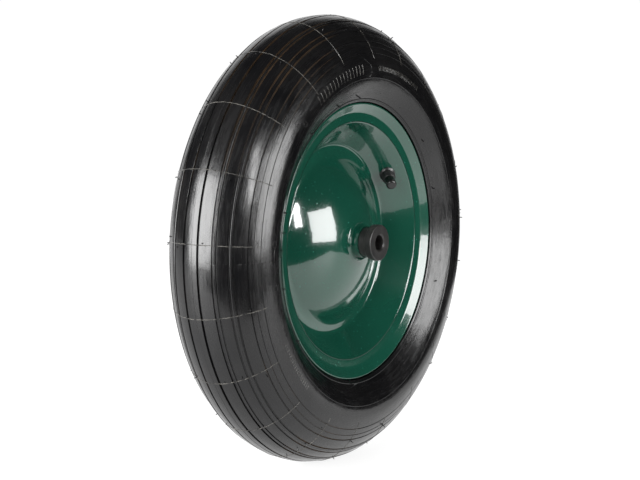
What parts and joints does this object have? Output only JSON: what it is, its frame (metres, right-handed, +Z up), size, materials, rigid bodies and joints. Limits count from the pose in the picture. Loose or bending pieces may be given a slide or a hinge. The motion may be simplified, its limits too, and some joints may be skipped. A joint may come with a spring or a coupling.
{
  "type": "wheelbarrow wheel",
  "caption": "Pneumatic wheelbarrow wheel: ribbed tyre with inner tube on a dished green two-half steel rim, flanged nylon bushes, tyre valve with cap.",
  "frame": {"origin": "the wheel's centre, on the axle line at the rim's mid-plane", "axes": "the axle along Y, the face with the valve towards -Y, +Z up"},
  "size_m": [0.38, 0.1, 0.38],
  "materials": {
    "tyre_rubber": "moulded black rubber, glossy with release film",
    "tube_rubber": "dusted butyl rubber",
    "bead_steel": "bronze coated bead wire",
    "rim_paint": "glossy deep green enamel over pressed steel",
    "bush_nylon": "black moulded nylon, satin",
    "valve_rubber": "black moulded rubber, satin",
    "valve_brass": "turned brass",
    "gasket_ptfe": "red sealing ring",
    "spring_steel": "bright spring wire",
    "cap_plastic": "black moulded plastic, glossy"
  },
  "bodies": {
    "axle_bushes": {"bush_front": "bush_nylon", "bush_back": "bush_nylon"},
    "wheel": {"tyre": "tyre_rubber", "bead_wire_front": "bead_steel", "bead_wire_back": "bead_steel", "inner_tube": "tube_rubber", "rim_half_front": "rim_paint", "rim_half_back": "rim_paint", "hub_tube": "rim_paint", "valve_stem": "valve_rubber", "valve_insert": "valve_brass", "core_plug": "valve_brass", "core_barrel": "valve_brass", "core_gasket": "gasket_ptfe", "core_spring": "spring_steel"},
    "valve_plunger": {"core_pin": "valve_brass", "plunger_cup": "valve_brass", "plunger_seal": "valve_rubber"},
    "cap_washer": {"cap_seal": "valve_rubber"},
    "cap": {"valve_cap": "cap_plastic"}
  },
  "joints": [
    {"name": "wheel_spin", "type": "hinge", "parent": "axle_bushes", "child": "wheel", "pos_m": [0, 0, 0], "axis": [0, 1, 0], "continuous": true},
    {"name": "core_press", "type": "slide", "parent": "wheel", "child": "valve_plunger", "axis": [0.6375, 0.6195, 0.4581], "range_m": [0, 0.0015], "stiffness_N_per_m": 300, "deforming": ["core_spring"]},
    {"name": "cap_lift", "type": "slide", "parent": "wheel", "child": "cap_washer", "axis": [-0.6375, -0.6195, -0.4581], "range_m": [0, 0.00953]},
    {"name": "cap_turn", "type": "hinge", "parent": "cap_washer", "child": "cap", "pos_m": [0.07309, -0.01302, 0.05252], "axis": [-0.6375, -0.6195, -0.4581], "range_deg": [0, 4320]}
  ],
  "couplings": [
    {"joint": "cap_turn", "follows": "cap_lift", "rad_per_m": 7913.3}
  ]
}
